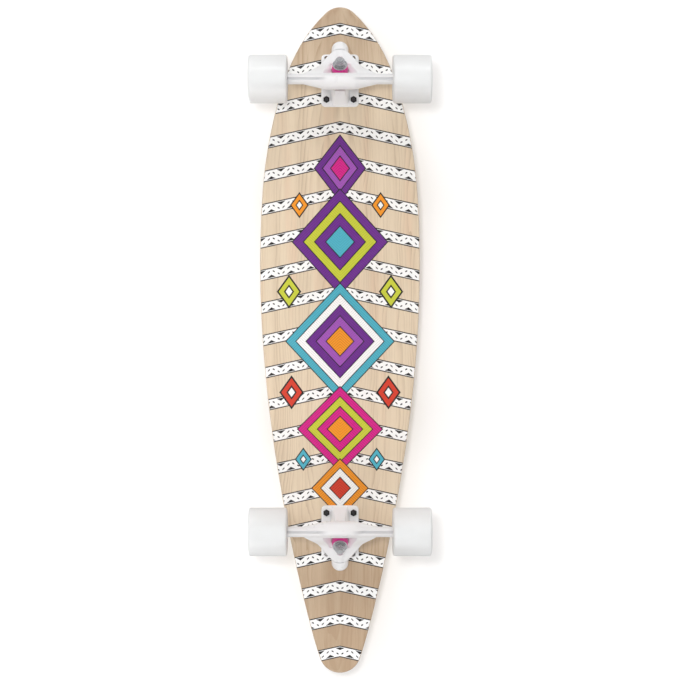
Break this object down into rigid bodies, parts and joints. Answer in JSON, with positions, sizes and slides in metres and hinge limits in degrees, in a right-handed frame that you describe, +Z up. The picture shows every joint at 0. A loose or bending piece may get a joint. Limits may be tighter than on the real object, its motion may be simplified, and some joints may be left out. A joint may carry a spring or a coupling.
{
  "type": "longboard skateboard",
  "caption": "Drop-shaped cambered maple longboard on white reverse-kingpin trucks with sprung steering and white urethane wheels turning on ball bearings.",
  "frame": {"origin": "on the floor, under the middle of the deck's length and width", "axes": "+X along the deck to the nose, +Y to the rider's left when facing the nose, +Z up"},
  "size_m": [1.0158, 0.273, 0.1225],
  "materials": {
    "printed_maple": "satin",
    "core_maple": "satin",
    "top_maple": "matte",
    "white_casting": "gloss",
    "cup_plastic": "matte",
    "bright_steel": "satin",
    "bearing_steel": "polished",
    "magenta_urethane": "gloss",
    "purple_bolt": "satin",
    "black_nut": "satin",
    "white_urethane": "satin",
    "core_plastic": "gloss"
  },
  "bodies": {
    "deck": {"deck_bottom_veneer": "printed_maple", "deck_ply_2": "core_maple", "deck_ply_3": "core_maple", "deck_ply_4": "core_maple", "deck_ply_5": "core_maple", "deck_ply_6": "core_maple", "deck_top_veneer": "top_maple", "front_baseplate": "white_casting", "front_pivot_cup": "cup_plastic", "front_kingpin": "bright_steel", "front_kingpin_nut": "bright_steel", "front_boardside_washer": "bright_steel", "front_roadside_washer": "bright_steel", "front_boardside_bushing": "magenta_urethane", "front_roadside_bushing": "magenta_urethane", "front_deck_bolts": "purple_bolt", "front_deck_nuts": "black_nut", "rear_baseplate": "white_casting", "rear_pivot_cup": "cup_plastic", "rear_kingpin": "bright_steel", "rear_kingpin_nut": "bright_steel", "rear_boardside_washer": "bright_steel", "rear_roadside_washer": "bright_steel", "rear_boardside_bushing": "magenta_urethane", "rear_roadside_bushing": "magenta_urethane", "rear_deck_bolts": "purple_bolt", "rear_deck_nuts": "black_nut"},
    "front_hanger": {"front_hanger": "white_casting", "front_axle": "bright_steel", "front_speed_rings": "bright_steel", "front_bearing_spacers": "bright_steel", "front_bearing_inner_rings": "bearing_steel", "front_axle_nuts": "bright_steel"},
    "front_left_wheel": {"front_left_tyre": "white_urethane", "front_left_wheel_core": "core_plastic", "front_left_bearing_outer_rings": "bearing_steel"},
    "front_left_ball_set": {"front_left_bearing_balls": "bearing_steel"},
    "front_right_wheel": {"front_right_tyre": "white_urethane", "front_right_wheel_core": "core_plastic", "front_right_bearing_outer_rings": "bearing_steel"},
    "front_right_ball_set": {"front_right_bearing_balls": "bearing_steel"},
    "rear_hanger": {"rear_hanger": "white_casting", "rear_axle": "bright_steel", "rear_speed_rings": "bright_steel", "rear_bearing_spacers": "bright_steel", "rear_bearing_inner_rings": "bearing_steel", "rear_axle_nuts": "bright_steel"},
    "rear_left_wheel": {"rear_left_tyre": "white_urethane", "rear_left_wheel_core": "core_plastic", "rear_left_bearing_outer_rings": "bearing_steel"},
    "rear_left_ball_set": {"rear_left_bearing_balls": "bearing_steel"},
    "rear_right_wheel": {"rear_right_tyre": "white_urethane", "rear_right_wheel_core": "core_plastic", "rear_right_bearing_outer_rings": "bearing_steel"},
    "rear_right_ball_set": {"rear_right_bearing_balls": "bearing_steel"}
  },
  "joints": [
    {"name": "front_steer", "type": "hinge", "parent": "deck", "child": "front_hanger", "pos_m": [0.3997, 0, 0.064], "axis": [0.766, 0, 0.6428], "range_deg": [-20, 20], "stiffness_Nm_per_rad": 40, "deforming": ["front_boardside_bushing", "front_roadside_bushing"]},
    {"name": "front_left_wheel_spin", "type": "hinge", "parent": "front_hanger", "child": "front_left_wheel", "pos_m": [0.389, 0.103, 0.036], "axis": [0, 1, 0], "continuous": true},
    {"name": "front_left_ball_orbit", "type": "hinge", "parent": "front_hanger", "child": "front_left_ball_set", "pos_m": [0.389, 0.103, 0.036], "axis": [0, 1, 0], "continuous": true},
    {"name": "front_right_wheel_spin", "type": "hinge", "parent": "front_hanger", "child": "front_right_wheel", "pos_m": [0.389, -0.103, 0.036], "axis": [0, 1, 0], "continuous": true},
    {"name": "front_right_ball_orbit", "type": "hinge", "parent": "front_hanger", "child": "front_right_ball_set", "pos_m": [0.389, -0.103, 0.036], "axis": [0, 1, 0], "continuous": true},
    {"name": "rear_steer", "type": "hinge", "parent": "deck", "child": "rear_hanger", "pos_m": [-0.2967, 0, 0.064], "axis": [-0.766, 0, 0.6428], "range_deg": [-20, 20], "stiffness_Nm_per_rad": 40, "deforming": ["rear_boardside_bushing", "rear_roadside_bushing"]},
    {"name": "rear_left_wheel_spin", "type": "hinge", "parent": "rear_hanger", "child": "rear_left_wheel", "pos_m": [-0.286, 0.103, 0.036], "axis": [0, 1, 0], "continuous": true},
    {"name": "rear_left_ball_orbit", "type": "hinge", "parent": "rear_hanger", "child": "rear_left_ball_set", "pos_m": [-0.286, 0.103, 0.036], "axis": [0, 1, 0], "continuous": true},
    {"name": "rear_right_wheel_spin", "type": "hinge", "parent": "rear_hanger", "child": "rear_right_wheel", "pos_m": [-0.286, -0.103, 0.036], "axis": [0, 1, 0], "continuous": true},
    {"name": "rear_right_ball_orbit", "type": "hinge", "parent": "rear_hanger", "child": "rear_right_ball_set", "pos_m": [-0.286, -0.103, 0.036], "axis": [0, 1, 0], "continuous": true}
  ],
  "couplings": [
    {"joint": "front_left_ball_orbit", "follows": "front_left_wheel_spin", "ratio": 0.6289},
    {"joint": "front_right_ball_orbit", "follows": "front_right_wheel_spin", "ratio": 0.6289},
    {"joint": "rear_left_ball_orbit", "follows": "rear_left_wheel_spin", "ratio": 0.6289},
    {"joint": "rear_right_ball_orbit", "follows": "rear_right_wheel_spin", "ratio": 0.6289}
  ]
}
